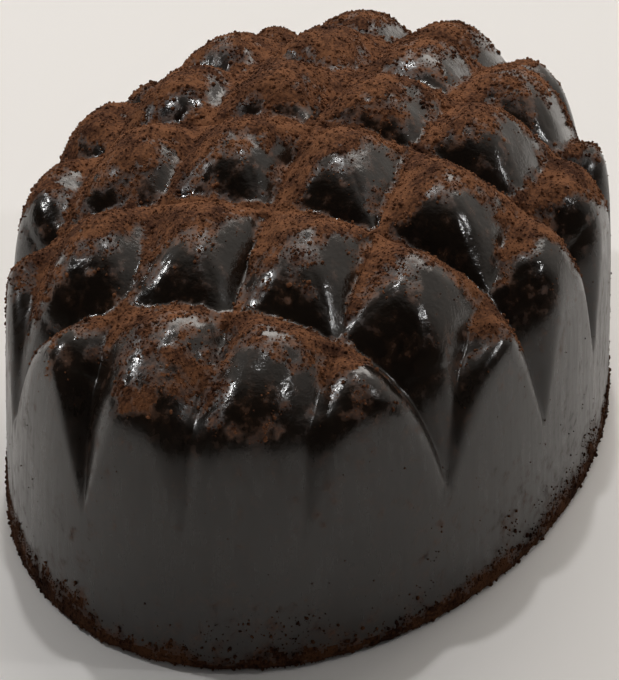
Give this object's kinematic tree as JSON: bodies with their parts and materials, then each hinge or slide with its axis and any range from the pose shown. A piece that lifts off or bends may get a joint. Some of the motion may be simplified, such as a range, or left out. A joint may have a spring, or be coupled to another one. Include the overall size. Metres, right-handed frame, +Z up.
{
  "type": "chocolate praline",
  "caption": "Oval moulded dark chocolate praline with a smooth upright wall, a low domed top cut into blunt pillows by two crossing families of V grooves, and a flat base.",
  "frame": {"origin": "centre of the flat base", "axes": "+Z up from the flat base, +X along the oval's long axis, +Y across it"},
  "size_m": [0.038, 0.0242, 0.0156],
  "materials": {
    "dark_chocolate": "satin moulded dark chocolate with cocoa powder on the top"
  },
  "bodies": {
    "root": {"praline": "dark_chocolate"}
  },
  "joints": []
}
